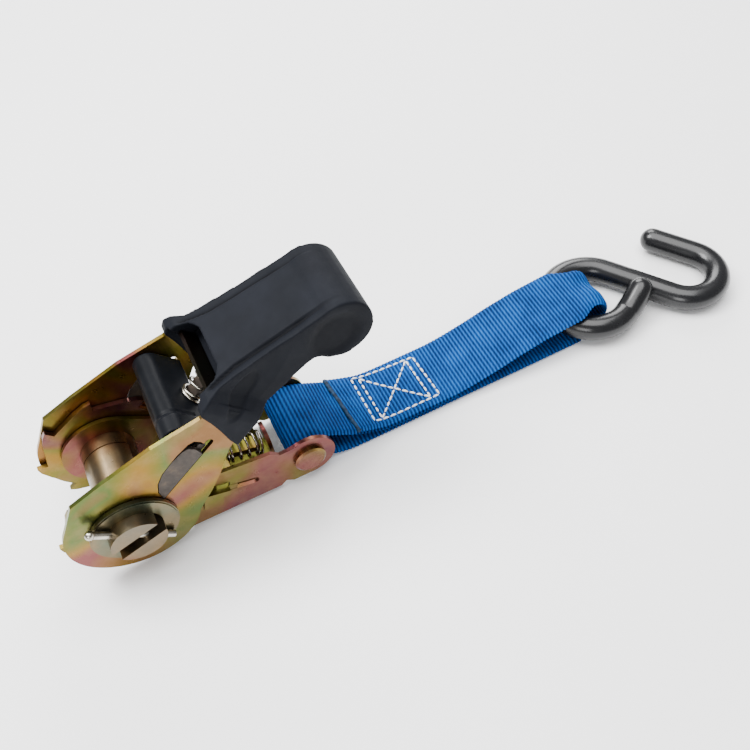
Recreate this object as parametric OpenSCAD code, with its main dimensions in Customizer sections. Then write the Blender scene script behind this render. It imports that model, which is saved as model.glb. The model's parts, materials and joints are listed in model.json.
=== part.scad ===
// Ratchet tie down for 25 mm webbing, with its short fixed strap and coated S-hook.
// Drawn with the spool axis at x = 0, then moved so the origin is at the middle of the base.

/* [Webbing] */
// Width of the webbing
web_w = 25; // [20:0.5:30]
// Thickness of one layer of webbing
web_t = 1.45; // [1:0.05:1.6]
// Clearance between the webbing and each base side plate
web_gap = 0.35; // [0.2:0.05:1]
// Sideways offset of the strap between the side plates
web_y = 0.6; // [0:0.1:0.7]

/* [Spool and wheels] */
// Radius of the two half-round spool bars
spool_r = 8.6; // [7.5:0.1:9]
// Width of the slot that the long strap threads through
spool_slot = 4.6; // [3.5:0.1:6]
// Height of the spool axis over the ground
spool_z = 22.3; // [22.3:0.1:26]
// Radius of the ratchet wheels at the tooth tips
wheel_tip_r = 22; // [20.5:0.1:22]
// Depth of the ratchet teeth
tooth_h = 3.4; // [2.5:0.1:4]
// Number of ratchet teeth
teeth = 8; // [6:1:12]
// Thickness of a ratchet wheel
wheel_t = 1.6; // [1.2:0.1:1.8]

/* [Base] */
// Thickness of the base sheet
base_t = 1.3; // [1:0.1:1.5]
// Distance along X from the spool axis to the strap bolt
bolt_x = 57.5; // [55:0.5:62]
// Distance along X from the spool axis to the lock spring's tab
tab_x = 47; // [46:0.5:48]
// Height of the strap bolt axis over the ground
bolt_z = 11.3; // [10.8:0.1:12]
// Radius of the strap bolt shank
bolt_r = 3; // [2.5:0.1:3.5]
// Radius of the strap bolt head
bolt_head_r = 5.4; // [4.5:0.1:6]
// Angle of the locking pawl's slide below the horizontal
lock_tilt = 15; // [14:0.5:16]

/* [Handle] */
// Angle of the handle over the horizontal as it stands
handle_angle = 40; // [30:1:90]
// Thickness of the handle side plates
handle_t = 1.3; // [1:0.1:1.5]
// Radius of the handle plates' cam ends
cam_r = 20.8; // [19:0.1:21.5]
// Thickness of the grip outside the handle plates
grip_wall = 1.25; // [0.8:0.05:2]
// Radius of the rolled end of the grip
lobe_r = 10.2; // [8:0.1:11]
// Thickness of the pawl plates
pawl_t = 2.3; // [1.8:0.1:2.5]

/* [Hook] */
// Radius of the hook's steel wire
wire_r = 3.5; // [2.5:0.05:3.6]
// Thickness of the hook's vinyl coating
coat_t = 1; // [0.5:0.05:1.1]
// Radius of the hook's eye, to the middle of the wire
eye_r = 14.5; // [14:0.1:16]
// Radius of the hook's bend, to the middle of the wire
bend_r = 11.8; // [10:0.1:13]
// Length of the straight limb after the bend
limb_l = 16.5; // [12:0.5:24]
// Distance along X from the strap bolt to the middle of the eye
reach = 118; // [116:0.5:130]

/* [Hidden] */
$fn = 72;

gap = 0.35;            // side gap between neighbouring plates
run_fit = 0.06;        // radial clearance of a running fit
slide_fit = 0.2;       // clearance round a sliding pawl
eps = 0.01;

// The stack of plates on each side, as distances from the middle plane
base_in = web_w / 2 + web_gap;
base_out = base_in + base_t;
wheel_in = base_out + gap;
wheel_out = wheel_in + wheel_t;
handle_in = wheel_out + gap;
handle_out = handle_in + handle_t;
trigger_w = handle_in - 0.75;
upright_w = handle_in - 3.45;
shoulder_w = handle_out + grip_wall;
washer_in = handle_out + 0.3;
washer_t = 1.6;
washer_out = washer_in + washer_t;
pin_r = 1.15;
pin_y = washer_out + pin_r + 0.1;
spool_end = pin_y + pin_r + 1.8;

spool_bore = spool_r + run_fit;
wheel_bore = spool_r + 0.03;
slot_angle = 19.5;
washer_r = 13.6;
head_r = 10.4;
pin_angle = 139;
first_tip = 173.7;
pawl_clear = 0.3;      // standing gap from the tooth tips to the pawl noses
nose_r = wheel_tip_r + pawl_clear;
lock_in = nose_r - 3.3; // inner end of the locking pawl's plate

base_z = 2.3;          // height of the base's lower edge
base_end_r = 14.3;
bolt_end_r = 9.1;
tab_w = 5.6;
sleeve_r = bolt_r + 1.5;
loop_in = sleeve_r + 0.3;
loop_out = loop_in + web_t;

drive_travel = 3;
ear_in_r = 13.2;
web_u = 39.8;          // spring side of the trigger's moulding
stem_w = 5;
spring_wire = 0.45;
drive_spring_r = 3.4;
lock_spring_r = 3.9;
seat_u = 50.6;         // where the drive spring presses on the handle's cross web

eye_x = bolt_x + reach;
coat_r = wire_r + coat_t;
hook_y = 1.2 + web_y;
hook_z = web_t + coat_r + 0.3;
hook_slope = 1.6;
shank_dir = 124;
shank_l = 26.3;
bend_x = eye_x + eye_r * cos(34) - shank_l * cos(shank_dir) + bend_r * cos(34);
fold_x = eye_x - 4.5;
fold_h = hook_z + coat_r + 3.2;  // height of the fold, to the upper layer's top
x_mid = (bend_x + bend_r + coat_r - wheel_tip_r * cos(180 - first_tip)) / 2;

zinc = [0.72, 0.66, 0.36];
pink_zinc = [0.70, 0.55, 0.48];
steel = [0.70, 0.70, 0.70];
rubber = [0.17, 0.18, 0.21];
blue = [0.10, 0.38, 0.70];
vinyl = [0.03, 0.03, 0.03];

module place() {
    translate([-x_mid, 0, 0]) children();
}

// A flat shape in X and Z, as thick as y0 to y1
module slab(y0, y1) {
    translate([0, y1, 0]) rotate([90, 0, 0]) linear_extrude(y1 - y0) children();
}

module both_sides() {
    children();
    mirror([0, 1, 0]) children();
}

// Round bar along Y
module bar_y(r, y0, y1) {
    translate([0, y1, 0]) rotate([90, 0, 0]) cylinder(r = r, h = y1 - y0);
}

module box(x0, x1, y0, y1, z0, z1) {
    translate([x0, y0, z0]) cube([x1 - x0, y1 - y0, z1 - z0]);
}

module at_spool() {
    place() translate([0, 0, spool_z]) children();
}

// The handle's own frame: X along the handle, Z across it
module on_handle() {
    at_spool() rotate([0, -handle_angle, 0]) children();
}

// The locking pawl's frame: X along its slide
module on_lock() {
    at_spool() rotate([0, lock_tilt, 0]) children();
}

// ---- Base ----

module base_outline() {
    top = spool_z;
    difference() {
        union() {
            translate([0, spool_z]) circle(base_end_r);
            translate([bolt_x, bolt_z]) circle(bolt_end_r);
            polygon([
                [-4, top - 13.7], [11, base_z], [bolt_x - 11.5, base_z],
                [bolt_x - 9.4, base_z + 1.7], [bolt_x - 7, base_z - 0.1],
                [bolt_x, bolt_z - bolt_end_r], [bolt_x, bolt_z + bolt_end_r],
                [bolt_x - 6, top - 3.1], [bolt_x - 9, top - 3.1],
                [bolt_x - 11.7, top - 0.5], [37.4, top + 0.4],
                [29.7, top + 1.4], [22, top + 2.1], [8, top + 11.8]
            ]);
        }
        translate([0, spool_z]) circle(spool_bore);
        translate([bolt_x, bolt_z]) circle(bolt_r + run_fit);
        translate([0, spool_z]) rotate(-lock_tilt) {
            translate([lock_in - 1, -2.7 - slide_fit]) square([32.3 - lock_in, 5.4 + 2 * slide_fit]);
            translate([31, -pawl_t / 2 - slide_fit]) square([9, pawl_t + 2 * slide_fit]);
            translate([40, 0]) circle(pawl_t / 2 + slide_fit);
        }
    }
}

module base_frame() color(pink_zinc) place() {
    both_sides() slab(base_in, base_out) base_outline();
    // Floor that joins the sides
    box(14, tab_x - 1.5, -base_in, base_in, base_z, base_z + base_t);
    // Tab that the lock spring presses on, with a slot for the pawl's stem
    difference() {
        union() {
            box(tab_x - 1.5, tab_x + base_t, -tab_w, tab_w, base_z, base_z + base_t);
            box(tab_x, tab_x + base_t, -tab_w, tab_w, base_z, spool_z - 11.2);
            translate([tab_x, 0, spool_z - 11.2]) rotate([0, 90, 0]) cylinder(r = tab_w, h = base_t);
        }
        translate([0, 0, spool_z]) rotate([0, lock_tilt, 0]) box(tab_x - 3, tab_x + 7,
            -stem_w / 2 - 0.3, stem_w / 2 + 0.3, -pawl_t / 2 - 0.3, pawl_t / 2 + 0.3);
    }
}

module at_bolt() {
    place() translate([bolt_x, 0, bolt_z]) children();
}

module strap_bolt() color(zinc) at_bolt() {
    bar_y(bolt_r, -base_out - eps, base_out + 4.4);
    bar_y(bolt_head_r, -base_out - 1.2, -base_out);
    translate([0, -base_out - 1.2, 0]) rotate([90, 0, 0])
        cylinder(r1 = bolt_head_r, r2 = bolt_head_r - 0.8, h = 0.5);
}

module bolt_nut() color(zinc) at_bolt() difference() {
    translate([0, base_out + 3.2, 0]) rotate([90, 0, 0]) cylinder(r = bolt_r + 2.4, h = 3.2, $fn = 6);
    bar_y(bolt_r + 0.02, base_out - 1, base_out + 5);
}

module bolt_sleeve() color(steel) at_bolt() difference() {
    bar_y(sleeve_r, -base_in + 0.1, base_in - 0.1);
    bar_y(bolt_r + run_fit, -base_in, base_in);
}

// ---- Spool ----

// One half of the spool: side is 1 for the upper bar and -1 for the lower
module spool_half(side) {
    at_spool() rotate([0, -slot_angle, 0]) difference() {
        union() {
            bar_y(spool_r, -spool_end, spool_end);
            bar_y(head_r, spool_end - 3.9, spool_end);
        }
        box(-20, 20, -30, 30, side > 0 ? -20 : -spool_slot / 2, side > 0 ? spool_slot / 2 : 20);
        // Turned grooves that keep the strap off the plates
        both_sides() translate([0, 8.5, 0]) rotate([90, 0, 0]) difference() {
            cylinder(r = spool_r + 1, h = 0.5);
            cylinder(r = spool_r - 0.35, h = 0.5);
        }
        translate([0, -pin_y, 0]) rotate([0, slot_angle - pin_angle, 0])
            rotate([0, 90, 0]) cylinder(r = pin_r + 0.03, h = 40, center = true);
    }
}

module spool_half_upper() color(steel) spool_half(1);
module spool_half_lower() color(steel) spool_half(-1);

module wheel_outline() {
    step = 360 / teeth;
    root_r = wheel_tip_r - tooth_h;
    difference() {
        union() {
            circle(root_r);
            for (i = [0 : teeth - 1]) rotate(first_tip + i * step) polygon([
                [0, 0], [wheel_tip_r, 0],
                [(wheel_tip_r - 0.5) * cos(6), (wheel_tip_r - 0.5) * sin(6)],
                [(root_r + 1.4) * cos(17), (root_r + 1.4) * sin(17)],
                [(root_r + 0.2) * cos(30), (root_r + 0.2) * sin(30)],
                [root_r * cos(step - 1), root_r * sin(step - 1)]
            ]);
        }
        circle(wheel_bore);
    }
}

module ratchet_wheel_near() color(zinc) at_spool() slab(-wheel_out, -wheel_in) wheel_outline();
module ratchet_wheel_far() color(zinc) at_spool() slab(wheel_in, wheel_out) wheel_outline();

module spool_washer() color([0.55, 0.58, 0.50]) at_spool() difference() {
    union() {
        bar_y(washer_r, -washer_out + 0.35, -washer_in);
        bar_y(washer_r - 0.5, -washer_out, -washer_in - 0.5);
    }
    bar_y(spool_r + 0.03, -30, 0);
}

module cotter_pin() color(steel) at_spool() translate([0, -pin_y, 0])
    rotate([0, -pin_angle, 0]) {
        translate([-12.6, 0, 0]) rotate([0, 90, 0]) cylinder(r = pin_r, h = 27.6);
        translate([15, 0, 0]) sphere(r = pin_r + 0.35);
    }

// ---- Handle ----

// Side view of the drive pawl's ear, from its lower tip over the curved back
ear = [
    [ear_in_r, -pawl_t], [15.4, 1], [18.9, 3.5], [23.2, 4.8], [28.2, 5], [32.7, 4.4],
    [34.5, 3.4], [34.8, 1.1], [33.6, -pawl_t]
];

module plate_outline() {
    difference() {
        union() {
            circle(cam_r);
            polygon([
                [-7.8, 19.2], [4.4, 24], [15, 20.7], [31.6, 14.6], [46, 7.2], [51.9, 6],
                [51.9, -8.5], [38, -9.4], [32.2, -11.5], [27.3, -13.7], [19.7, -16],
                [12.2, -17.5], [5.9, -18.9], [-4, -18]
            ]);
        }
        circle(spool_bore);
        // Window that the drive pawl's ear slides in
        polygon(concat(
            [for (i = [0 : 4]) ear[i] + [-slide_fit, i > 0 ? slide_fit : -slide_fit]],
            [for (i = [4 : 8]) ear[i] + [drive_travel + slide_fit, i < 8 ? slide_fit : -slide_fit]]));
        translate([34, -2.5]) square([4.5, 2.5]);
        translate([38.5, -1.25]) circle(1.25);
    }
}

module grip_tang() {
    translate([seat_u + 0.6, 0, -1]) rotate([0, 24, 0])
        box(0, 27, -9, 9, -handle_t / 2, handle_t / 2);
}

module handle_frame() color(zinc) on_handle() {
    both_sides() slab(handle_in, handle_out) plate_outline();
    // Cross web and the tang that holds the grip
    box(seat_u, seat_u + handle_t, -handle_in - eps, handle_in + eps, -8.5, 6);
    grip_tang();
}

lobe_c = [85.4, -17.2]; // middle of the grip's rolled end, in the handle's frame

module grip_profile() {
    polygon(concat(
        [[43.9, -1.3], [45.9, 3.4], [47.5, 8.4], [50, 9.6], [53, 9], [58, 6.4], [66, 2.5], [78, -2.9]],
        [for (a = [78 : -12 : -138]) lobe_c + lobe_r * [cos(a), sin(a)]],
        [[75.6, -20.6], [75.2, -18], [74, -15.9], [70.2, -14.4], [66.8, -13.7], [62.5, -13],
         [57, -11.6], [52, -10.6], [46, -10.3], [40, -10.4], [41.4, -6.4]]
    ));
}

// The grip seen from above the handle, as half widths along it
grip_edge = [
    [34, 0.6], [40, 0], [50, 0], [52.4, 0.9], [56, 3.7], [62, 4], [71, 4.6], [84, 5.1], [95, 5.4], [97, 6]
];
module grip_plan() {
    n = len(grip_edge);
    polygon(concat(
        [for (p = grip_edge) [p[0], p[1] - shoulder_w]],
        [for (i = [n - 1 : -1 : 0]) [grip_edge[i][0], shoulder_w - grip_edge[i][1]]]));
}

// Hollow at the front of the grip's top, between its shoulders
module grip_notch() {
    w = shoulder_w - 5.8;
    polygon([
        [30, -w], [52.5, -w], [56.3, -w + 1.6], [58.2, -w + 5], [58.2, w - 5], [56.3, w - 1.6], [52.5, w], [30, w]
    ]);
}

module grip() color(rubber) on_handle() difference() {
    intersection() {
        slab(-25, 25) grip_profile();
        translate([0, 0, -40]) linear_extrude(80) grip_plan();
    }
    translate([0, 0, 0.5]) linear_extrude(20) grip_notch();
    // Space between the shoulders
    box(30, seat_u, -base_out - 0.75, base_out + 0.75, -30, 30);
    // Pocket for the handle's sheet metal
    both_sides() slab(handle_in, handle_out) polygon([
        [30, 20], [46, 7.2], [51.9, 6], [51.9, -8.5], [38, -9.4], [30, -12.5]
    ]);
    box(seat_u - 1, seat_u + handle_t, -handle_in - eps, handle_in + eps, -8.5, 6);
    grip_tang();
}

// Closed tube along a list of points, with the given number of sides and a flat or domed end
function ring_frame(d) = let (a = d / norm(d), s = cross(a, [0.02, 0.05, 1]), b = s / norm(s))
    [b, cross(a, b)];
dome = [75, 50, 25];
module tube(points, r, sides, domed = false) {
    n = len(points);
    d0 = (points[0] - points[1]) / norm(points[0] - points[1]);
    d1 = (points[n - 1] - points[n - 2]) / norm(points[n - 1] - points[n - 2]);
    centres = concat(
        domed ? [for (a = dome) points[0] + d0 * r * sin(a)] : [], points,
        domed ? [for (i = [2 : -1 : 0]) points[n - 1] + d1 * r * sin(dome[i])] : []);
    radii = concat(
        domed ? [for (a = dome) r * cos(a)] : [], [for (p = points) r],
        domed ? [for (i = [2 : -1 : 0]) r * cos(dome[i])] : []);
    m = len(centres);
    rings = [for (i = [0 : m - 1]) let (
        d = centres[min(i + 1, m - 1)] - centres[max(i - 1, 0)], f = ring_frame(d))
        for (k = [0 : sides - 1])
            centres[i] + radii[i] * (cos(360 * k / sides) * f[0] + sin(360 * k / sides) * f[1])];
    walls = [for (i = [0 : m - 2]) for (k = [0 : sides - 1]) let (j = (k + 1) % sides)
        [i * sides + k, (i + 1) * sides + k, (i + 1) * sides + j, i * sides + j]];
    first = [for (k = [0 : sides - 1]) k];
    last = [for (k = [sides - 1 : -1 : 0]) (m - 1) * sides + k];
    polyhedron(points = rings, faces = concat([first], walls, [last]));
}

// Compression spring along X, from x0 to x1, with r to the middle of its wire
module spring(r, x0, x1, turns) {
    steps = turns * 14;
    a = x0 + spring_wire;
    b = x1 - spring_wire;
    // The helix runs round Z, so that a ring never lies along the frame's reference
    rotate([0, 90, 0]) tube([for (i = [0 : steps]) [
        r * cos(360 * turns * i / steps), r * sin(360 * turns * i / steps),
        a + (b - a) * i / steps
    ]], spring_wire, 6);
}

module drive_pawl() color([0.25, 0.20, 0.17]) on_handle() {
    // Plate that spans the handle and meets both wheels
    box(nose_r, 36, -handle_in, handle_in, -pawl_t, 0);
    // Ears that slide in the handle's windows
    both_sides() slab(handle_in - eps, handle_out) polygon(ear);
    // Upright that the trigger is moulded on
    box(36 - pawl_t, 36, -upright_w, upright_w, -eps, 6);
    // Stem that guides the spring
    box(35, 47, -stem_w / 2, stem_w / 2, -pawl_t, 0);
}

module trigger_bar() color([0.10, 0.10, 0.11]) on_handle() difference() {
    union() {
        translate([35.6, 0, 7.2]) bar_y(4.2, -trigger_w, trigger_w);
        box(32.2, web_u, -trigger_w, trigger_w, 1, 7.2);
        box(36.1, web_u, -trigger_w, trigger_w, -pawl_t - 0.4, 1.1);
    }
    box(36 - pawl_t, 36, -upright_w, upright_w, -1, 6);
    box(35, 47, -stem_w / 2 - 0.05, stem_w / 2 + 0.05, -pawl_t - 0.05, 0.05);
}

module drive_spring() color(steel) on_handle()
    translate([0, 0, -pawl_t / 2]) spring(drive_spring_r, web_u + 0.1, seat_u, 3);

// ---- Locking pawl ----

module lock_pawl() color([0.25, 0.20, 0.17]) on_lock() {
    // Plate through both base slots
    box(lock_in, 34, -base_out, base_out, -pawl_t / 2, pawl_t / 2);
    box(lock_in + 0.5, 27, -base_out, base_out, -2.6, 2.6);
    // Ears that lock the wheels, with a bent lip
    both_sides() {
        box(nose_r, 31, base_out - eps, wheel_out, -pawl_t / 2, pawl_t / 2);
        box(nose_r + 0.2, nose_r + 6.5, base_out + gap, wheel_out, -5.6, 0);
    }
    box(33, tab_x - 1, -stem_w / 2, stem_w / 2, -pawl_t / 2, pawl_t / 2);
}

module lock_spring() color(steel) on_lock() spring(lock_spring_r, 34.3, tab_x - 0.2, 4);

// ---- Strap: one webbing, drawn as four closed stretches ----

// A layer of webbing along a row of [x, z] points on its lower face
module layer(points, half_w) {
    n = len(points);
    slab(-half_w, half_w) polygon(concat(
        points, [for (i = [n - 1 : -1 : 0]) points[i] + [0, web_t]]));
}

module on_strap() {
    place() translate([0, web_y, 0]) children();
}

loop_half = min(web_w / 2, base_in - web_y - 0.3);

module strap_bolt_loop() color(blue) on_strap() {
    translate([bolt_x, 0, bolt_z]) difference() {
        bar_y(loop_out, -loop_half, loop_half);
        bar_y(loop_in, -20, 20);
        box(0, 20, -20, 20, -20, 20);
    }
}

module strap_lower_run() color(blue) on_strap() layer([
    [bolt_x, bolt_z - loop_out], [bolt_x + 4, bolt_z - loop_out - 0.8], [bolt_x + 11, 0.6],
    [bolt_x + 15, 0], [fold_x - 5, 0]
], loop_half);

module strap_upper_run() color(blue) on_strap() {
    // The end that comes off the bolt, sewn between the other two
    layer([
        [bolt_x, bolt_z + loop_in], [bolt_x + 4, bolt_z + loop_in - 0.6],
        [bolt_x + 8, bolt_z + loop_in - 3.4], [bolt_x + 20, 5.4], [bolt_x + 28, 2],
        [bolt_x + 33, web_t + 0.1], [bolt_x + 66, web_t + 0.1]
    ], loop_half);
    // The end that comes back from the hook, sewn on top
    layer([
        [bolt_x + 18.5, 6.3 + web_t], [bolt_x + 20, 5.4 + web_t],
        [bolt_x + 28, 2 + web_t], [bolt_x + 33, 2 * web_t + 0.1],
        [fold_x - 48.5, 2 * web_t + 0.1], [fold_x - 41.5, 4.6], [fold_x - 32.5, 7.6],
        [fold_x - 21.5, 10.6], [fold_x - 5, fold_h - web_t]
    ], loop_half);
}

module strap_hook_loop() color(blue) on_strap() {
    r = fold_h / 2;
    // Narrowed, because it is drawn through the eye of the hook
    half = min(loop_half, eye_r - coat_r - 1.6);
    difference() {
        union() {
            translate([fold_x, 0, r]) bar_y(r, -half, half);
            box(fold_x - 5, fold_x, -half, half, 0, fold_h);
        }
        translate([fold_x, 0, r]) bar_y(r - web_t, -20, 20);
        box(fold_x - 10, fold_x, -20, 20, web_t, fold_h - web_t);
    }
}

// ---- Hook ----

module on_hook() {
    place() translate([eye_x - eye_r, hook_y, hook_z]) rotate([0, hook_slope, 0])
        translate([eye_r, 0, 0]) children();
}

// Points along an arc, without its first one, about one for each step in degrees
function arc_points(c, r, from, to, step) = let (n = round(abs(to - from) / step))
    [for (i = [1 : n]) let (a = from + (to - from) * i / n) c + r * [cos(a), sin(a), 0]];

shank_0 = eye_r * [cos(34), sin(34), 0];
shank_1 = shank_0 - shank_l * [cos(shank_dir), sin(shank_dir), 0];
bend_c = shank_1 + bend_r * [cos(34), sin(34), 0];
limb_0 = bend_c + bend_r * [cos(34), sin(34), 0];
limb_1 = limb_0 + limb_l * [cos(shank_dir), sin(shank_dir), 0];
eye_tip = [15.2, -8.6, 4.3];
// The middle of the wire, from the tip that closes the eye to the tip of the bend
hook_path = concat(
    [eye_tip, eye_tip + [-3.4, -2.2, -2.2]],
    arc_points([0, 0, 0], eye_r, 308, 34, 14),
    [for (i = [1 : 3]) shank_0 + (shank_1 - shank_0) * i / 4],
    [shank_1],
    arc_points(bend_c, bend_r, 214, 394, 15),
    [limb_0 + (limb_1 - limb_0) / 2, limb_1]
);

module hook_wire() color(steel) on_hook() tube(hook_path, wire_r, 10, domed = true);
module hook_coating() color(vinyl) on_hook() difference() {
    tube(hook_path, coat_r, 12, domed = true);
    tube(hook_path, wire_r, 10, domed = true);
}

base_frame();
strap_bolt();
bolt_nut();
bolt_sleeve();
spool_half_upper();
spool_half_lower();
ratchet_wheel_near();
ratchet_wheel_far();
spool_washer();
cotter_pin();
handle_frame();
grip();
drive_pawl();
trigger_bar();
drive_spring();
lock_pawl();
lock_spring();
strap_bolt_loop();
strap_lower_run();
strap_upper_run();
strap_hook_loop();
hook_wire();
hook_coating();
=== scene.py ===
"""Looks of the ratchet tie down: materials, webbing, stitching, springs, grip and hook coating."""

import json
import math

import bmesh
import bpy
import numpy as np
from mathutils import Matrix, Vector, noise


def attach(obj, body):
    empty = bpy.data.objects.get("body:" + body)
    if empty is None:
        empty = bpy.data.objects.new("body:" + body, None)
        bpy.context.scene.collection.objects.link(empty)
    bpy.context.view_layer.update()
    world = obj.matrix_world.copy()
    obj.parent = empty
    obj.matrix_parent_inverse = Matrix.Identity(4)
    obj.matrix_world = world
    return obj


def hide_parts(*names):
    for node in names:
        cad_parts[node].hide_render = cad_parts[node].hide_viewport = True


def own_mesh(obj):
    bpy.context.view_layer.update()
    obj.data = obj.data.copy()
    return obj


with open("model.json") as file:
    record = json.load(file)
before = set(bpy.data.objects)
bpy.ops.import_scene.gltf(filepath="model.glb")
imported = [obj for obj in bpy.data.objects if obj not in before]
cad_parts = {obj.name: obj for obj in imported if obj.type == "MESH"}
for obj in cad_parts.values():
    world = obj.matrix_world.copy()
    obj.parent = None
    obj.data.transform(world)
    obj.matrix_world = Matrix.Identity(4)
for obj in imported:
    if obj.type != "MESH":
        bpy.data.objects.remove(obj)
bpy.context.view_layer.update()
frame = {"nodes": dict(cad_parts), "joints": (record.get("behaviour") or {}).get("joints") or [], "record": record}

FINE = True
MM = 0.001
JOINTS = {j["name"]: j for j in frame["joints"]}
SLOTS = {entry["node"]: entry["material_slot"] for entry in frame["record"]["subparts"]}
SPOOL = Vector(JOINTS["spool_spin"]["pos_m"])
BOLT = Vector(JOINTS["strap_swing"]["pos_m"])
HOOK_PIVOT = Vector(JOINTS["hook_swing"]["pos_m"])

# Angles of the handle and of the locking pawl, about the spool
HANDLE_ANGLE = math.radians(40)
LOCK_TILT = math.radians(-15)

# The handle's cross web: where it starts along the handle, and half the width of the hollow it stands in, which
# bound the painted shade on it
CROSS_WEB_U = 50.3
HOLLOW_HALF = 15.5

# The hook in millimetres and degrees
EYE_R = 14.5  # to the middle of the wire, as is the bend's
BEND_R = 11.8
SHANK_L = 26.3
LIMB_L = 16.5
COAT_R = 4.5  # half the thickness over the coating
HOOK_TURN = 34  # how far it turns to the side
HOOK_LEAN = 1.6

# The webbing in millimetres
WEB_T = 1.45
WEB_HALF = 12.4
RIB = 1.35  # pitch of the cross ribs
RIB_H = 0.15
CUT_SLANT = 1.2  # how far the cut end slants, each side of its middle
BOLT_LOOP_R = 5.55  # to the middle of the webbing
FOLD_X = (HOOK_PIVOT.x - SPOOL.x) / MM + EYE_R - COAT_R  # centre of the fold in the hook's eye
FOLD_H = 13.95  # height over the fold


def spot(x, y, z):
    """A point in millimetres from the spool axis on the ground, as a point of the frame in metres."""
    return Vector((SPOOL.x + x * MM, y * MM, z * MM))


def turned(angle, along, y, off):
    """A point in millimetres along and off a line from the spool, which rises at the angle."""
    c, s = math.cos(angle), math.sin(angle)
    return SPOOL + Vector((along * c - off * s, y, along * s + off * c)) * MM


def on_handle(u, y, v):
    return turned(HANDLE_ANGLE, u, y, v)


def on_lock(p, y, q):
    return turned(LOCK_TILT, p, y, q)


# ---- Camera, floor and light ----

LENS = 42.871
SENSOR = 36
CAMERA_AT = (32.135, -170.301, 257.242)
CAMERA_RIGHT = Vector((0.89776, -0.43033, -0.09405))
CAMERA_FORWARD = Vector((0.18948, 0.57001, -0.79949)).normalized()

FLOOR_HALF = 3.0
FLOOR_DROP = 0.0002
FLOOR_COLOUR = (0.97, 0.97, 0.975, 1)
FLOOR_ROUGHNESS = 0.7
WORLD_STRENGTH = 0.42

# Each lamp's name, place, target and size in metres, and its watts
LAMPS = (
    ("overhead", (0.05, 0.1, 1.1), (0, 0, 0), 1.0, 24),
    ("key", (-0.35, 0.25, 0.7), (0, 0, 0.02), 0.35, 9),
    ("back", (0.35, 0.75, 0.5), (0, 0, 0.03), 0.5, 8),
    ("front", (-0.45, -0.6, 0.4), (-0.05, 0, 0.03), 0.35, 3),
)


def make_camera():
    data = bpy.data.cameras.new("camera")
    data.sensor_width = SENSOR
    data.lens = LENS
    camera = bpy.data.objects.new("camera", data)
    bpy.context.collection.objects.link(camera)
    up = CAMERA_RIGHT.cross(CAMERA_FORWARD).normalized()
    right = CAMERA_FORWARD.cross(up).normalized()
    turn = Matrix((right, up, -CAMERA_FORWARD)).transposed()
    camera.matrix_world = Matrix.Translation(spot(*CAMERA_AT)) @ turn.to_4x4()
    bpy.context.scene.camera = camera


def make_lamp(name, place, target, size, watts):
    data = bpy.data.lights.new(name, "AREA")
    data.energy = watts
    data.size = size
    lamp = bpy.data.objects.new(name, data)
    bpy.context.collection.objects.link(lamp)
    lamp.location = place
    lamp.rotation_euler = (Vector(target) - Vector(place)).to_track_quat("-Z", "Y").to_euler()


def make_floor():
    mat = bpy.data.materials.new("floor")
    mat.use_nodes = True
    shader = mat.node_tree.nodes["Principled BSDF"]
    shader.inputs["Base Color"].default_value = FLOOR_COLOUR
    shader.inputs["Roughness"].default_value = FLOOR_ROUGHNESS
    r = FLOOR_HALF
    mesh = bpy.data.meshes.new("floor")
    mesh.from_pydata([(-r, -r, 0), (r, -r, 0), (r, r, 0), (-r, r, 0)], [], [(0, 1, 2, 3)])
    mesh.materials.append(mat)
    floor = bpy.data.objects.new("floor", mesh)
    bpy.context.collection.objects.link(floor)
    floor.location.z = -FLOOR_DROP


def make_world():
    world = bpy.data.worlds.new("studio")
    world.use_nodes = True
    background = world.node_tree.nodes["Background"]
    background.inputs["Color"].default_value = (1, 1, 1, 1)
    background.inputs["Strength"].default_value = WORLD_STRENGTH
    bpy.context.scene.world = world


make_camera()
make_floor()
make_world()
for lamp in LAMPS:
    make_lamp(*lamp)


# ---- Materials ----

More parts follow.
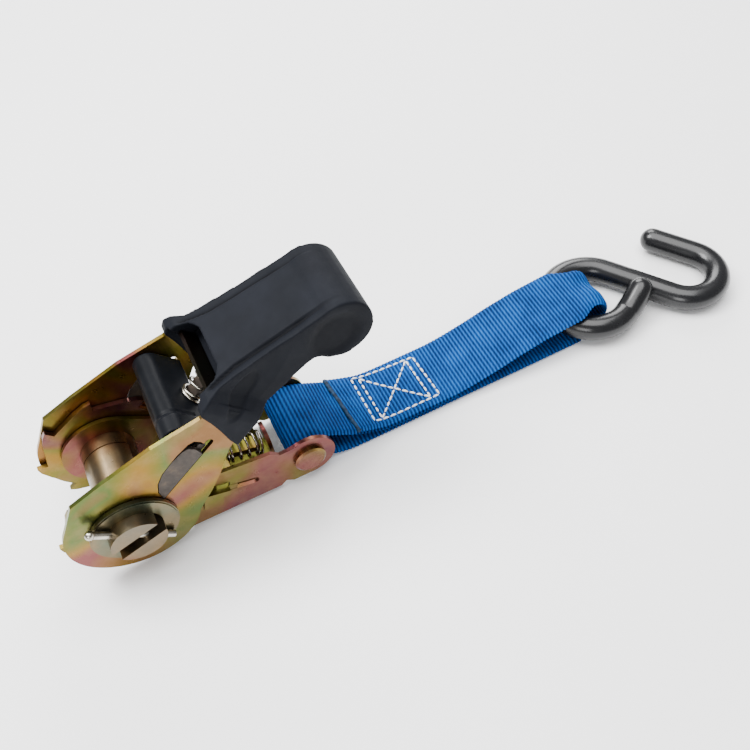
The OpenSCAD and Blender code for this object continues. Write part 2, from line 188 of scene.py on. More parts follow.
class Mat:
    """A node material with short calls for the nodes that the looks below use."""

    def __init__(self, name, **values):
        self.mat = bpy.data.materials.new(name)
        self.mat.use_nodes = True
        self.tree = self.mat.node_tree
        self.shader = self.tree.nodes["Principled BSDF"]
        for key, value in values.items():
            self.set(key.replace("_", " "), value)

    def set(self, socket, value):
        for name in self.shader.inputs.keys():
            if name.lower() == socket.lower():
                self.shader.inputs[name].default_value = value
                return
        raise KeyError(socket)

    def node(self, kind, links=None, **props):
        n = self.tree.nodes.new(kind)
        for key, value in props.items():
            if key in n.inputs:
                n.inputs[key].default_value = value
            else:
                setattr(n, key, value)
        for key, source in (links or {}).items():
            self.tree.links.new(source, n.inputs[key])
        return n

    def place(self, coords="Object"):
        return self.node("ShaderNodeTexCoord").outputs[coords]

    def noise(self, scale, detail=3.0, rough=0.55, vector=None, distortion=0.0):
        n = self.node("ShaderNodeTexNoise", {"Vector": vector or self.place()})
        n.inputs["Scale"].default_value = scale
        n.inputs["Detail"].default_value = detail
        n.inputs["Roughness"].default_value = rough
        n.inputs["Distortion"].default_value = distortion
        return n.outputs["Fac"]

    def ramp(self, fac, stops):
        n = self.node("ShaderNodeValToRGB", {"Fac": fac})
        while len(n.color_ramp.elements) < len(stops):
            n.color_ramp.elements.new(0.5)
        for e, (at, colour) in zip(n.color_ramp.elements, stops):
            e.position = at
            e.color = (*colour, 1)
        return n.outputs["Color"]

    def mix(self, fac, a, b, blend="MIX"):
        n = self.node("ShaderNodeMix", data_type="RGBA", blend_type=blend)
        for socket, value in ((n.inputs[0], fac), (n.inputs[6], a), (n.inputs[7], b)):
            if isinstance(value, bpy.types.NodeSocket):
                self.tree.links.new(value, socket)
            else:
                socket.default_value = value if isinstance(value, float) else (*value, 1)
        return n.outputs[2]

    def math(self, op, a, b=0.0):
        n = self.node("ShaderNodeMath", operation=op)
        for socket, value in ((n.inputs[0], a), (n.inputs[1], b)):
            if isinstance(value, bpy.types.NodeSocket):
                self.tree.links.new(value, socket)
            else:
                socket.default_value = value
        return n.outputs[0]

    def axis(self, which, vector=None):
        return self.node("ShaderNodeSeparateXYZ", {"Vector": vector or self.place()}).outputs[which]

    def colour(self, source):
        self.tree.links.new(source, self.shader.inputs["Base Color"])

    def roughness(self, source, low, high):
        n = self.node("ShaderNodeMapRange", {"Value": source})
        n.inputs["To Min"].default_value = low
        n.inputs["To Max"].default_value = high
        self.tree.links.new(n.outputs[0], self.shader.inputs["Roughness"])

    def bump(self, height, depth_mm, strength=1.0, under=None):
        n = self.node("ShaderNodeBump", {"Height": height})
        n.inputs["Strength"].default_value = strength
        n.inputs["Distance"].default_value = depth_mm * MM
        if under:
            self.tree.links.new(under, n.inputs["Normal"])
        self.tree.links.new(n.outputs[0], self.shader.inputs["Normal"])
        return n.outputs[0]


OLIVE = (0.150, 0.130, 0.018)
GOLD = (0.235, 0.130, 0.016)
GREEN = (0.085, 0.125, 0.028)
PINK = (0.188, 0.054, 0.050)
MAUVE = (0.120, 0.038, 0.056)
TAN = (0.172, 0.084, 0.030)


def shade_in_hollow(m, colour):
    """Paints shade on the handle's cross web where it stands in the hollow of the grip, so that it looks like a
    dark cavity.
    """
    at = m.place()
    c, s = math.cos(HANDLE_ANGLE), math.sin(HANDLE_ANGLE)
    u = m.math("ADD", m.math("MULTIPLY", m.axis(0, at), c), m.math("MULTIPLY", m.axis(2, at), s))
    edge = SPOOL.x * c + SPOOL.z * s + CROSS_WEB_U * MM
    deep = m.math("GREATER_THAN", u, edge)
    middle = m.math("LESS_THAN", m.math("ABSOLUTE", m.axis(1, at)), HOLLOW_HALF * MM)
    # Painted shade: the web turns near black inside the hollow
    return m.mix(m.math("MULTIPLY", m.math("MULTIPLY", deep, middle), 0.92), colour, (0.012, 0.010, 0.008))


def chromate(name, stops, scale, shift, rough=(0.22, 0.38), hollow=False):
    """Yellow chromate zinc: soft patches of colour on satin metal, with faint rolling lines and specks."""
    m = Mat(name, Metallic=0.97)
    base = m.node("ShaderNodeMapping", {"Vector": m.place()})
    base.inputs["Location"].default_value = shift
    patches = m.noise(scale, 1.5, 0.45, base.outputs[0], 0.6)
    specks = m.noise(900, 4, 0.6)
    cloud = m.noise(140, 3, 0.6, base.outputs[0])
    colour = m.ramp(patches, stops)
    colour = m.mix(0.16, colour, m.ramp(specks, [(0.3, (0.55, 0.5, 0.4)), (0.7, (1, 1, 1))]), "MULTIPLY")
    veil = m.ramp(cloud, [(0.42, (0, 0, 0)), (0.75, (0.35, 0.35, 0.35))])
    colour = m.mix(veil, colour, (0.30, 0.19, 0.09))
    # With hollow set, the cross web gets painted shade
    m.colour(shade_in_hollow(m, colour) if hollow else colour)
    m.roughness(m.noise(260, 4, 0.6), *rough)
    stretch = m.node("ShaderNodeMapping", {"Vector": m.place()})
    stretch.inputs["Scale"].default_value = (0.08, 1, 1)
    m.bump(m.noise(1600, 2, 0.5, stretch.outputs[0]), 0.02, 0.25, m.bump(specks, 0.02, 0.2))
    return m.mat


def steel(name, colour, rough=(0.22, 0.4)):
    m = Mat(name, Metallic=1.0)
    dark = tuple(c * 0.62 for c in colour)
    m.colour(m.ramp(m.noise(220, 4, 0.6), [(0.3, dark), (0.62, colour)]))
    m.roughness(m.noise(400, 4, 0.6), *rough)
    m.bump(m.noise(1500, 3, 0.6), 0.02, 0.35)
    return m.mat


def dark_pawl():
    m = Mat("pawl_steel", Metallic=0.55)
    m.colour(m.ramp(m.noise(170, 5, 0.65), [
        (0.3, (0.020, 0.016, 0.013)), (0.55, (0.055, 0.042, 0.033)), (0.8, (0.13, 0.09, 0.055))]))
    m.roughness(m.noise(500, 4), 0.38, 0.66)
    m.bump(m.noise(1100, 5, 0.7), 0.05, 0.5)
    return m.mat


def grip_rubber():
    """Black rubber, with painted shade where the grip's sculpting presses it in."""
    m = Mat("grip_rubber", Specular_IOR_Level=0.08)
    tone = m.noise(70, 4, 0.6)
    colour = m.ramp(tone, [(0.35, (0.0046, 0.0054, 0.0080)), (0.7, (0.0070, 0.0082, 0.0118))])
    # Painted shade: the sculpt's attribute mixes the rubber towards near black in its creases and dishes
    painted_shade = m.node("ShaderNodeAttribute", attribute_name="painted_shade").outputs["Fac"]
    m.colour(m.mix(painted_shade, colour, (0.0015, 0.0017, 0.0025)))
    m.roughness(m.noise(300, 4), 0.56, 0.72)
    m.bump(m.noise(2200, 3, 0.6), 0.035, 0.45, m.bump(m.noise(330, 3), 0.05, 0.12))
    return m.mat


def trigger_plastic():
    m = Mat("trigger_plastic", Specular_IOR_Level=0.06)
    m.colour(m.ramp(m.noise(120, 4), [(0.35, (0.0035, 0.0040, 0.0052)), (0.7, (0.0065, 0.0072, 0.0092))]))
    m.roughness(m.noise(260, 3), 0.30, 0.46)
    m.bump(m.noise(1500, 3), 0.02, 0.3)
    return m.mat


def hook_vinyl():
    m = Mat("hook_vinyl", Specular_IOR_Level=0.40, Coat_Weight=0.15, Coat_Roughness=0.15)
    m.colour(m.ramp(m.noise(90, 3), [(0.35, (0.0035, 0.0036, 0.0044)), (0.7, (0.0060, 0.0062, 0.0074))]))
    m.roughness(m.noise(160, 4), 0.20, 0.34)
    m.bump(m.noise(420, 4, 0.6), 0.05, 0.22)
    return m.mat


def webbing_cloth():
    """Blue polyester: UV runs along the webbing in u and across it in v, both in metres."""
    m = Mat("webbing", Specular_IOR_Level=0.035)
    uv = m.place("UV")
    rib_turns = m.math("MULTIPLY", m.axis(0, uv), 2 * math.pi / (RIB * MM))
    across = m.axis(1, uv)
    ribs = m.math("SINE", rib_turns)
    strands = m.math("SINE", m.math("MULTIPLY", across, 2 * math.pi / (0.55 * MM)))
    twill = m.math("SINE", m.math("ADD", rib_turns, m.math("MULTIPLY", across, 3200.0)))
    # Painted shade: the colour darkens in the grooves between the cross ribs, while the twill, the strands and the
    # noise add the weave's own tone
    shade = m.math("ADD", m.math("MULTIPLY", ribs, 0.33), m.math("MULTIPLY", twill, 0.06))
    shade = m.math("ADD", shade, m.math("MULTIPLY", strands, 0.04))
    shade = m.math("ADD", shade, m.math("MULTIPLY", m.noise(120, 4, 0.6), 0.75))
    m.colour(m.ramp(shade, [
        (0.0, (0.0008, 0.011, 0.050)), (0.28, (0.0020, 0.030, 0.135)), (0.60, (0.005, 0.066, 0.260)),
        (0.95, (0.012, 0.120, 0.390))]))
    m.roughness(m.noise(500, 3), 0.45, 0.62)
    height = m.math("ADD", m.math("MULTIPLY", strands, 0.35), m.math("MULTIPLY", twill, 0.45))
    m.bump(height, 0.10, 0.55, m.bump(m.noise(2600, 3), 0.05, 0.3))
    return m.mat


def thread_white():
    m = Mat("stitching", Sheen_Weight=0.2)
    m.colour(m.ramp(m.noise(2500, 3), [(0.3, (0.62, 0.64, 0.66)), (0.65, (0.88, 0.88, 0.86))]))
    m.roughness(m.noise(900, 2), 0.55, 0.75)
    m.bump(m.noise(3500, 2), 0.04, 0.6)
    return m.mat


def melted_end():
    m = Mat("melted_end", Specular_IOR_Level=0.15)
    m.colour(m.ramp(m.noise(700, 4), [(0.35, (0.004, 0.010, 0.022)), (0.7, (0.012, 0.045, 0.10))]))
    m.roughness(m.noise(900, 3), 0.35, 0.7)
    m.bump(m.noise(1300, 4, 0.7), 0.12, 0.7)
    return m.mat


WASHER_TONES = [(0.35, (0.060, 0.075, 0.048)), (0.5, (0.11, 0.12, 0.075)), (0.66, (0.15, 0.12, 0.065))]
SPOOL_TONES = [(0.3, (0.13, 0.115, 0.085)), (0.5, (0.16, 0.115, 0.062)), (0.66, (0.15, 0.078, 0.042))]
BASE_TONES = [(0.30, MAUVE), (0.42, PINK), (0.50, TAN), (0.58, OLIVE), (0.70, GREEN)]
HANDLE_TONES = [(0.32, PINK), (0.42, GOLD), (0.50, OLIVE), (0.58, GREEN), (0.66, TAN)]
WHEEL_TONES = [(0.32, MAUVE), (0.45, TAN), (0.55, OLIVE), (0.7, GOLD)]
BOLT_TONES = [(0.35, PINK), (0.5, OLIVE), (0.65, GREEN)]

# One material for each slot of the record, and the thread's
MATERIALS = {
    "base_plate": chromate("base_plate", BASE_TONES, 34, (0.02, 0.01, 0.0)),
    # The handle plates carry painted shade on the cross web in the grip's hollow
    "handle_plate": chromate("handle_plate", HANDLE_TONES, 36, (0.013, 0.0, 0.02), hollow=True),
    "wheel_plate": chromate("wheel_plate", WHEEL_TONES, 60, (0.3, 0.1, 0.2)),
    "bolt": chromate("bolt", BOLT_TONES, 45, (0.1, 0.4, 0.2), rough=(0.2, 0.34)),
    "washer": chromate("washer", WASHER_TONES, 70, (0.5, 0.1, 0.1)),
    "spool_steel": chromate("spool_steel", SPOOL_TONES, 60, (0.2, 0.2, 0.7)),
    "bright_steel": steel("bright_steel", (0.52, 0.49, 0.42), (0.18, 0.32)),
    "bare_steel": steel("bare_steel", (0.42, 0.41, 0.39)),
    "pawl_steel": dark_pawl(),
    "grip_rubber": grip_rubber(),
    "trigger_plastic": trigger_plastic(),
    "webbing": webbing_cloth(),
    "hook_vinyl": hook_vinyl(),
    "stitching": thread_white(),
}

# How far the edges of each metal node are softened, so that they catch the light
EDGES = {
    "base_frame": 0.18, "handle_frame": 0.18, "ratchet_wheel_near": 0.16, "ratchet_wheel_far": 0.16,
    "spool_half_upper": 0.25, "spool_half_lower": 0.25, "drive_pawl": 0.2, "lock_pawl": 0.2,
    "strap_bolt": 0.3, "bolt_nut": 0.25, "spool_washer": 0.2,
}


def dress(node, slot):
    mesh = frame["nodes"][node].data
    mesh.materials.clear()
    mesh.materials.append(MATERIALS[slot])


def soften(node, width):
    mod = frame["nodes"][node].modifiers.new("edge", "BEVEL")
    mod.width = width * MM
    mod.segments = 2
    mod.limit_method = "ANGLE"
    mod.angle_limit = math.radians(40)


for node, slot in SLOTS.items():
    dress(node, slot)
for node, width in EDGES.items():
    soften(node, width)


# ---- Mesh helpers ----

def piece(name, verts, faces, material, body):
    """A smooth mesh object that rides on a body."""
    mesh = bpy.data.meshes.new(name)
    mesh.from_pydata([tuple(v) for v in verts], [], faces)
    mesh.validate()
    mesh.materials.append(material)
    mesh.polygons.foreach_set("use_smooth", [True] * len(mesh.polygons))
    obj = bpy.data.objects.new(name, mesh)
    bpy.context.collection.objects.link(obj)
    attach(obj, body)
    return obj


def tube_rings(points, radii, sides, up=Vector((0.02, 0.05, 1))):
    """Rings of points round a line, turned as little as possible from one to the next."""
    angles = [2 * math.pi * k / sides for k in range(sides)]
    rings = []
    side = None
    for i, p in enumerate(points):
        d = (points[min(i + 1, len(points) - 1)] - points[max(i - 1, 0)]).normalized()
        side = (side - d * side.dot(d)).normalized() if side else d.cross(up).normalized()
        other = d.cross(side)
        rings.append([p + radii[i] * (math.cos(a) * side + math.sin(a) * other) for a in angles])
    return rings


def skin(rings):
    """Vertices and faces of a closed tube through the rings."""
    n, sides = len(rings), len(rings[0])
    verts = [v for ring in rings for v in ring]
    faces = [
        (i * sides + k, i * sides + (k + 1) % sides, (i + 1) * sides + (k + 1) % sides, (i + 1) * sides + k)
        for i in range(n - 1) for k in range(sides)]
    faces.append(tuple(reversed(range(sides))))
    faces.append(tuple((n - 1) * sides + k for k in range(sides)))
    return verts, faces


def domed(points, radius, steps=6):
    """A line and its radii with a round dome added at each end."""
    first = (points[0] - points[1]).normalized()
    last = (points[-1] - points[-2]).normalized()
    angles = [math.radians(86 * (1 - i / steps)) for i in range(steps)]
    head = [points[0] + first * radius * math.sin(a) for a in angles]
    tail = [points[-1] + last * radius * math.sin(a) for a in reversed(angles)]
    ends = [radius * math.cos(a) for a in angles]
    return head + points + tail, ends + [radius] * len(points) + ends[::-1]


def voxel_mesh(obj, voxel):
    """Gives the object an even mesh in place of its own."""
    mod = obj.modifiers.new("remesh", "REMESH")
    mod.mode = "VOXEL"
    mod.voxel_size = voxel * MM
    bpy.context.view_layer.update()
    mesh = bpy.data.meshes.new_from_object(obj.evaluated_get(bpy.context.evaluated_depsgraph_get()))
    obj.modifiers.clear()
    obj.data = mesh
    return mesh


def eased(mesh, rounds):
    """The mesh's points after its edges are rounded, with a push back on every second round."""
    co = np.empty(len(mesh.vertices) * 3)
    mesh.vertices.foreach_get("co", co)
    co = co.reshape(-1, 3)
    edges = np.empty(len(mesh.edges) * 2, int)
    mesh.edges.foreach_get("vertices", edges)
    a, b = edges.reshape(-1, 2).T
    count = np.bincount(a, minlength=len(co)) + np.bincount(b, minlength=len(co))
    for i in range(rounds):
        total = np.zeros_like(co)
        np.add.at(total, a, co[b])
        np.add.at(total, b, co[a])
        step = total / np.maximum(count, 1)[:, None] - co
        co = co + step * (0.6 if i % 2 == 0 else -0.25)
    return co


def moulded(name, node, voxel, rounds, body, sculpt):
    """A moulded piece from a CAD node's shape: evenly remeshed, its edges rounded, then sculpted."""
    obj = bpy.data.objects.new(name, frame["nodes"][node].data.copy())
    bpy.context.collection.objects.link(obj)
    mesh = voxel_mesh(obj, voxel)
    co = eased(mesh, rounds)
    mesh.vertices.foreach_set("co", co.ravel())
    mesh.update()
    normals = np.empty(len(co) * 3)
    mesh.vertices.foreach_get("normal", normals)
    co, painted_shade = sculpt(co, normals.reshape(-1, 3))
    mesh.vertices.foreach_set("co", co.ravel())
    # Keeps the sculpt's painted shade as a point attribute for the material
    mesh.attributes.new("painted_shade", "FLOAT", "POINT").data.foreach_set("value", painted_shade.astype(np.float32))
    mesh.materials.clear()
    mesh.materials.append(MATERIALS[SLOTS[node]])
    mesh.polygons.foreach_set("use_smooth", [True] * len(mesh.polygons))
    mesh.update()
    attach(obj, body)
    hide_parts(node)


# ---- Grip and trigger ----

def handle_coords(co):
    """Points of the frame as (u, y, v) in the handle's own frame, in millimetres."""
    rel = (co - np.array(SPOOL)) / MM
    c, s = math.cos(HANDLE_ANGLE), math.sin(HANDLE_ANGLE)
    return rel[:, 0] * c + rel[:, 2] * s, rel[:, 1], -rel[:, 0] * s + rel[:, 2] * c


# Where the crease runs on the grip, in millimetres: along the handle, and out from its middle
CREASE_U = (52, 58, 62, 67, 73, 79, 85, 92)
CREASE_Y = (14.2, 12.4, 11.4, 11.1, 10.9, 10.7, 10.4, 10.3)
CREASE_DEPTH = 1.15

# Ovals on the grip's side walls, by their middle along and off the handle and their half sizes
THUMB_REST = (56.5, -0.9, 8.2, 3.1)
SIDE_HOLLOW = (61, -0.5, 19, 7.5)

# The dished end of the grip's roll: its middle along and off the handle, and its radius
ROLL_U, ROLL_V, ROLL_R = 83.5, -16.6, 9.0

# Size of the mouldings' mesh in millimetres, and how many rounds ease their edges
GRIP_VOXEL = 0.36 if FINE else 0.6
GRIP_ROUNDS = 14 if FINE else 8
BAR_VOXEL = 0.25 if FINE else 0.4
BAR_ROUNDS = 12

# The trigger bar lies before this place along the handle and above this height off it
BAR_END_U = 39.9
BAR_LOW_V = 1


def bell(x, width):
    """A bump of height 1 at 0."""
    return np.exp(-(x / width) ** 2)


def smooth(x, width):
    """Rises from 0 to 1 as x goes from 0 to the width."""
    t = np.clip(x / width, 0, 1)
    return t * t * (3 - 2 * t)


def from_oval(u, v, oval):
    """Distance from an oval's middle, which is 1 at its rim."""
    middle_u, middle_v, half_u, half_v = oval
    return np.hypot((u - middle_u) / half_u, (v - middle_v) / half_v)


def sculpt_grip(co, normals):
    """Presses in the crease along the top, the oval thumb rests and the dished sides of the rolled end, with
    painted shade in the crease, the thumb rests and the dished roll.
    """
    u, y, v = handle_coords(co)
    n_y = normals[:, 1]
    n_v = normals[:, 2] * math.cos(HANDLE_ANGLE) - normals[:, 0] * math.sin(HANDLE_ANGLE)
    depth = np.zeros(len(co))
    painted_shade = np.zeros(len(co))
    top = np.clip((n_v - 0.35) / 0.3, 0, 1)
    for side in (-1, 1):
        # The crease drops sharply from the middle and comes back up in a round band
        off = side * y - np.interp(u, CREASE_U, CREASE_Y)
        fade = np.clip((u - 53) / 2, 0, 1) * np.clip((94 - u) / 12, 0, 1)
        outward = np.exp(-np.clip(off, 0, None) / 1.5) * (off >= 0)
        inward = bell(off, 0.35) * (off < 0)
        depth += CREASE_DEPTH * (outward + inward) * top * fade
        # Painted shade along the crease
        painted_shade += 0.9 * bell(off - 0.15, 0.5) * top * fade
        # On the side wall: the oval thumb rest, the hollow round it and the dished rolled end
        wall = np.clip((side * n_y - 0.5) / 0.3, 0, 1)
        rest = smooth(1.12 - from_oval(u, v, THUMB_REST), 0.3)
        hollow = np.clip(1 - from_oval(u, v, SIDE_HOLLOW) ** 2, 0, 1) * (u > 53)
        inside_roll = ROLL_R - np.hypot((u - ROLL_U) * 0.9, v - ROLL_V)
        depth += (0.45 * rest + 0.5 * hollow + 0.9 * smooth(inside_roll, 4.0)) * wall
        # Painted shade in the thumb rest and the dished roll
        painted_shade += 0.35 * (smooth(inside_roll, 3.0) + rest) * wall
    return co - normals * (depth * MM)[:, None], np.clip(painted_shade, 0, 1)


def sculpt_trigger(co, normals):
    """A collar round the bar near its near end, and a slight waist beyond it."""
    u, y, v = handle_coords(co)
    swell = 0.35 * np.clip((-9.2 - y) / 0.5, 0, 1) - 0.25 * bell(y + 8.6, 0.5)
    around = np.abs(normals[:, 1]) < 0.6
    bar = (u < BAR_END_U) & (v > BAR_LOW_V)
    return co + normals * (swell * around * bar * MM)[:, None], np.zeros(len(co))


moulded("grip_rubber_moulding", "grip", GRIP_VOXEL, GRIP_ROUNDS, "handle", sculpt_grip)
moulded("trigger_moulding", "trigger_bar", BAR_VOXEL, BAR_ROUNDS, "trigger", sculpt_trigger)


# ---- Springs ----

SPRING_WIRE_R = 0.45
SPRING_STEPS = 28  # points in a turn
PAWL_MID = -1.15  # middle of the drive pawl below the handle's line


def coil(name, node, place, start, end, radius, turns, body):
    """A compression spring with closed end turns along the first axis of place()."""
    line = []
    for i in range((turns + 2) * SPRING_STEPS + 1):
        turn = i / SPRING_STEPS
        # One closed turn at each end, open turns between
        run = min(max(turn - 1, 0), turns) / turns
        along = start + SPRING_WIRE_R + (end - start - 2 * SPRING_WIRE_R) * run
        angle = 2 * math.pi * turn
        line.append(place(along, radius * math.cos(angle), radius * math.sin(angle)))
    rings = tube_rings(line, [SPRING_WIRE_R * MM] * len(line), 10)
    obj = piece(name, *skin(rings), MATERIALS["bright_steel"], body)
    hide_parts(node)
    direction = place(1, 0, 0) - place(0, 0, 0)
    tuple(place(end, 0, 0))
    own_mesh(obj)


# Each spring fills its CAD node's length
coil("drive_spring_coil", "drive_spring", lambda x, y, z: on_handle(x, y, z + PAWL_MID),
     39.9, 50.6, 3.4, 3, "handle")
coil("lock_spring_coil", "lock_spring", on_lock, 34.3, 46.8, 3.9, 4, "base")


# ---- Hook coating ----

def toward(degrees):
    """The direction at an angle in the hook's plane."""
    return Vector((math.cos(math.radians(degrees)), math.sin(math.radians(degrees)), 0))


def arc(centre, radius, start, end, step=3.0):
    """Points along an arc between two angles in degrees, without its first point."""
    n = round(abs(end - start) / step)
    return [centre + radius * toward(start + (end - start) * i / n) for i in range(1, n + 1)]


def hook_line():
    """The middle of the hook's wire in millimetres, from the tip at the eye to the tip of the bend."""
    out = toward(HOOK_TURN)
    shank = toward(HOOK_TURN + 90)
    shank_0 = EYE_R * out
    shank_1 = shank_0 - SHANK_L * shank
    bend_c = shank_1 + BEND_R * out
    limb_0 = bend_c + BEND_R * out
    tip = Vector((15.2, -8.6, 4.3))
    line = [tip, tip + Vector((-1.7, -1.1, -1.1)), tip + Vector((-3.4, -2.2, -2.2))]
    line += arc(Vector((0, 0, 0)), EYE_R, 308, HOOK_TURN)
    line += [shank_0.lerp(shank_1, i / 10) for i in range(1, 11)]
    line += arc(bend_c, BEND_R, HOOK_TURN + 180, HOOK_TURN + 360)
    line += [limb_0 + shank * LIMB_L * i / 8 for i in range(1, 9)]
    for _ in range(3):
        middle = [(a + 2 * b + c) / 4 for a, b, c in zip(line, line[1:], line[2:])]
        line = [line[0]] + middle + [line[-1]]
    return line


def make_hook():
    lean = Matrix.Rotation(math.radians(HOOK_LEAN), 3, "Y")
    eye = Vector((EYE_R, 0, 0))
    points = [HOOK_PIVOT + lean @ (p + eye) * MM for p in hook_line()]
    line, radii = domed(points, (COAT_R - 0.02) * MM)
    obj = piece("hook_vinyl_dip", *skin(tube_rings(line, radii, 28)), MATERIALS["hook_vinyl"], "hook")
    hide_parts("hook_coating")
    return obj


hook = make_hook()


# ---- Webbing ----

# Spacing of the webbing's sections in millimetres, rounds that ease its corners, and faces across it
WEB_STEP = 0.3 if FINE else 0.6
WEB_ROUNDS = 40 if FINE else 12
WEB_COLS = 20 if FINE else 10


def smooth_line(points):
    """Points resampled at even steps, then eased at the corners."""
    pts = [np.array(p, float) for p in points]
    lengths = [0.0]
    for a, b in zip(pts, pts[1:]):
        lengths.append(lengths[-1] + float(np.linalg.norm(b - a)))
    n = round(lengths[-1] / WEB_STEP)
    even = np.linspace(0, lengths[-1], n + 1)
    line = np.stack([np.interp(even, lengths, [p[k] for p in pts]) for k in (0, 1)], 1)
    for _ in range(WEB_ROUNDS):
        line[1:-1] = line[1:-1] * 0.5 + (line[:-2] + line[2:]) * 0.25
    return line


def round_points(x, z, radius, start, end):
    """Points round a centre in X and Z, 12 degrees apart."""
    angles = [math.radians(a) for a in range(start, end, 12)]
    return [(x + radius * math.cos(a), z + radius * math.sin(a)) for a in angles]


def raised(points):
    """Points of the webbing's underside, moved to its middle."""
    return [(x, z + WEB_T / 2) for x, z in points]


def strap_line():
    """The middle of the webbing in X and Z: from its hidden end, round the bolt, under and round the hook,
    and back to the cut end on top."""
    hidden = raised([(113.5, 1.55), (90.5, 1.55), (85.5, 2.1), (77.5, 5.6), (67.5, 12.2), (63, 15)])
    round_bolt = round_points((BOLT.x - SPOOL.x) / MM, BOLT.z / MM, BOLT_LOOP_R, 75, 271)
    lower = raised([(61.5, 4.25), (68.5, 0.6), (74, 0.0), (FOLD_X - 5, 0.0)])
    fold = round_points(FOLD_X, FOLD_H / 2, (FOLD_H - WEB_T) / 2, -90, 91)
    top = raised([
        (FOLD_X - 5, FOLD_H - WEB_T), (149.5, 10.7), (138.5, 8.4), (129.5, 6), (120, 3.9), (112.5, 3.05),
        (90.5, 3.05), (85.5, 3.6), (77.5, 7.1), (75.6, 8.2)])
    return smooth_line(hidden + round_bolt + lower + fold + top)


def share(x, start, length):
    """How far x has come along a stretch: 0 before it and 1 past it."""
    return min(max((x - start) / length, 0), 1)


def gathered(x):
    """How far the webbing is drawn together, where it passes through the eye."""
    return share(x, 163, 9)


def strap_half(x):
    """Half width of the webbing: tucked between the plates, and gathered where it passes the eye."""
    tucked, narrow = 11.9, 8.9
    gather = gathered(x)
    rise = gather * gather * (3 - 2 * gather)
    return tucked + (WEB_HALF - tucked) * share(x, 62, 12) + (narrow - WEB_HALF) * rise


def strap_middle(x):
    """How far the webbing's middle lies to the side: it drifts over to the hook's eye."""
    return 0.6 + 1.2 * share(x, 60, 100)


def web_section(place, tangent, normal, along, left):
    """Points and UVs across the webbing at a place on its line, on its outer face and then its inner one."""
    x, z = place
    half = strap_half(x)
    swing = math.sin(2 * math.pi * along / RIB)
    verts, uvs = [], []
    for face in (1, -1):
        for j in range(WEB_COLS + 1):
            t = -1 + 2 * j / WEB_COLS
            edge = math.sqrt(max(0.0, 1 - abs(t) ** 26))
            wave = 0.35 * gathered(x) * math.sin(t * 5.2 + 0.6)
            sag = 0.12 * noise.noise(Vector((x * 0.05, t * 1.3, z * 0.1)))
            off = face * (WEB_T / 2 + RIB_H * swing) * edge + wave + sag
            slant = CUT_SLANT * t * max(0.0, 1 - left / 10)
            y = strap_middle(x) + t * (half + 0.14 * swing * abs(t) ** 18)
            px, pz = place + normal * off + tangent * slant
            verts.append(spot(px, y, max(pz, 0.02)))
            uvs.append((along * MM, t * half * MM))
    return verts, uvs


def web_faces(sections):
    """Faces of the webbing's two sides, its edges and its ends."""
    half_row = WEB_COLS + 1
    row = 2 * half_row
    faces = []
    for a in range(0, (sections - 1) * row, row):
        b = a + row
        for j in range(WEB_COLS):
            k = a + half_row + j
            faces.append((a + j, a + j + 1, b + j + 1, b + j))
            faces.append((k + 1, k, k + row, k + row + 1))
        faces.append((a + half_row, a, b, b + half_row))
        faces.append((a + WEB_COLS, a + row - 1, b + row - 1, b + WEB_COLS))
    for a in (0, (sections - 1) * row):
        for j in range(WEB_COLS):
            quad = (a + j, a + half_row + j, a + half_row + j + 1, a + j + 1)
            faces.append(quad if a == 0 else quad[::-1])
    return faces


def face_outward(mesh):
    bm = bmesh.new()
    bm.from_mesh(mesh)
    bmesh.ops.recalc_face_normals(bm, faces=bm.faces)
    bm.to_mesh(mesh)
    bm.free()


def make_webbing():
    line = strap_line()
    tangent = np.gradient(line, axis=0)
    tangent /= np.linalg.norm(tangent, axis=1)[:, None]
    normal = np.stack([-tangent[:, 1], tangent[:, 0]], 1)
    along = np.concatenate([[0], np.cumsum(np.linalg.norm(np.diff(line, axis=0), axis=1))])
    verts, uvs = [], []
    for i in range(len(line)):
        new_verts, new_uvs = web_section(line[i], tangent[i], normal[i], along[i], along[-1] - along[i])
        verts += new_verts
        uvs += new_uvs
    obj = piece("webbing_strap", verts, web_faces(len(line)), MATERIALS["webbing"], "strap")
    loops = np.empty(len(obj.data.loops), int)
    obj.data.loops.foreach_get("vertex_index", loops)
    obj.data.uv_layers.new(name="UVMap").data.foreach_set("uv", np.array(uvs)[loops].ravel())
    face_outward(obj.data)
    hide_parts("strap_bolt_loop", "strap_lower_run", "strap_upper_run", "strap_hook_loop")
    return obj, line, float(along[-1])


webbing, web_line, web_length = make_webbing()


# ---- Stitching and melted end ----

# Corners of the two boxes of stitches, in millimetres along and across the webbing's top
OUTER_BOX = ((83.3, -8.7, 0), (108.0, -8.6, 0), (107.1, 10.4, 0), (83.4, 11.5, 0))
INNER_BOX = ((86.2, -8.3, 0), (104.8, -8.2, 0), (104.3, 10.2, 0), (86.0, 10.8, 0))
STITCH = 2.7  # pitch of the stitches
BEAD_R = 0.80  # the melted end's half thickness


def top_height(x):
    """Height of the top surface of the upper run, which is the last part of the webbing's line."""
    upper = web_line[int(len(web_line) * 0.62):]
    order = np.argsort(upper[:, 0])
    return float(np.interp(x, upper[order, 0], upper[order, 1])) + WEB_T / 2


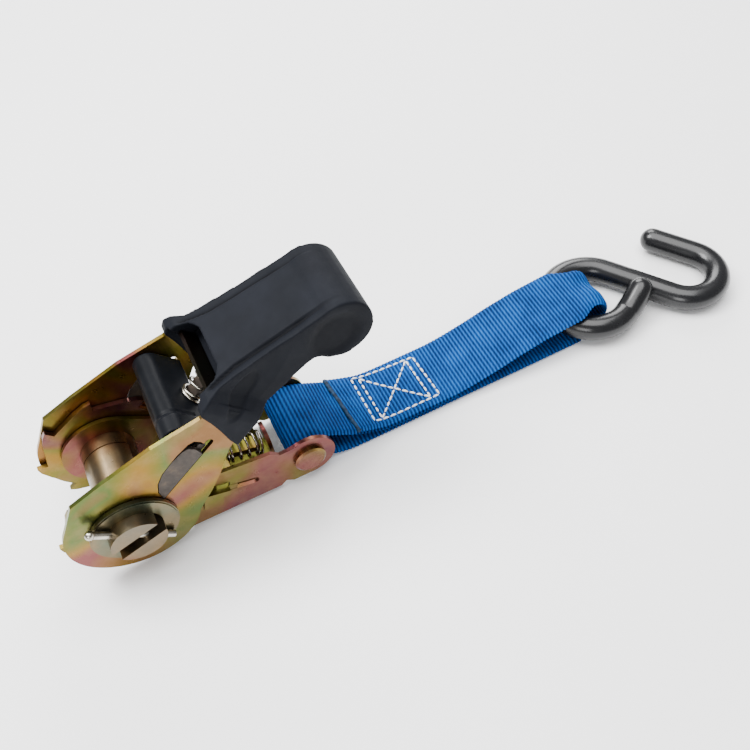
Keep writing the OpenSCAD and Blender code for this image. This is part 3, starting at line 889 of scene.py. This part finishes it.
def stitch(start, end, seed):
    """One thread that bows over the webbing between two points, thin where it dips in."""
    line, radii = [], []
    for k in range(7):
        t = k / 6
        p = start.lerp(end, t)
        bow = math.sin(math.pi * t)
        wander = 0.10 * noise.noise(Vector((p.x * 0.7, p.y * 0.7, seed)))
        line.append(spot(p.x, p.y + wander, top_height(p.x) + 0.30 * bow - 0.16))
        radii.append((0.20 + 0.17 * bow) * MM)
    return skin(tube_rings(line, radii, 8))


def stitch_row(start, end, seed):
    """Every stitch between two points, evenly spaced."""
    a, b = Vector(start), Vector(end)
    count = round((b - a).length / STITCH)
    return [stitch(a.lerp(b, (i + 0.10) / count), a.lerp(b, (i + 0.90) / count), seed) for i in range(count)]


def make_stitches():
    """A box of stitches, the ends of a smaller box inside it, and a cross between the small box's corners."""
    rows = [(OUTER_BOX[i], OUTER_BOX[(i + 1) % 4]) for i in range(4)]
    rows += [(INNER_BOX[i], INNER_BOX[k]) for i, k in ((0, 3), (1, 2), (0, 2), (1, 3))]
    verts, faces = [], []
    for n, (start, end) in enumerate(rows):
        for thread_verts, thread_faces in stitch_row(start, end, n * 3.1):
            faces += [tuple(len(verts) + q for q in face) for face in thread_faces]
            verts += thread_verts
    obj = piece("strap_stitching", verts, faces, MATERIALS["stitching"], "strap")
    return obj


def make_melted_end():
    """The dark bead where the webbing was cut hot, uneven along its length."""
    x, z = web_line[-1]
    mid, half = strap_middle(x), WEB_HALF - 0.15
    steps = 60
    line, radii = [], []
    for i in range(steps + 1):
        t = -1 + 2 * i / steps
        jitter = 0.16 * noise.noise(Vector((t * 7, 3.1, 0.4)))
        swell = 0.12 * noise.noise(Vector((t * 11, 1.7, 2.2)))
        end = 1 if 0 < i < steps else 0.6
        rise = 0.05 + 0.4 * jitter + 0.6 * CUT_SLANT * t
        line.append(spot(x - 0.15 + jitter - CUT_SLANT * t, mid + t * half, z + rise))
        radii.append((BEAD_R + swell) * MM * end)
    rings = tube_rings(line, radii, 12, Vector((1, 0, 0.1)))
    obj = piece("strap_melted_end", *skin(rings), melted_end(), "strap")
    return obj


stitches = make_stitches()
melted = make_melted_end()
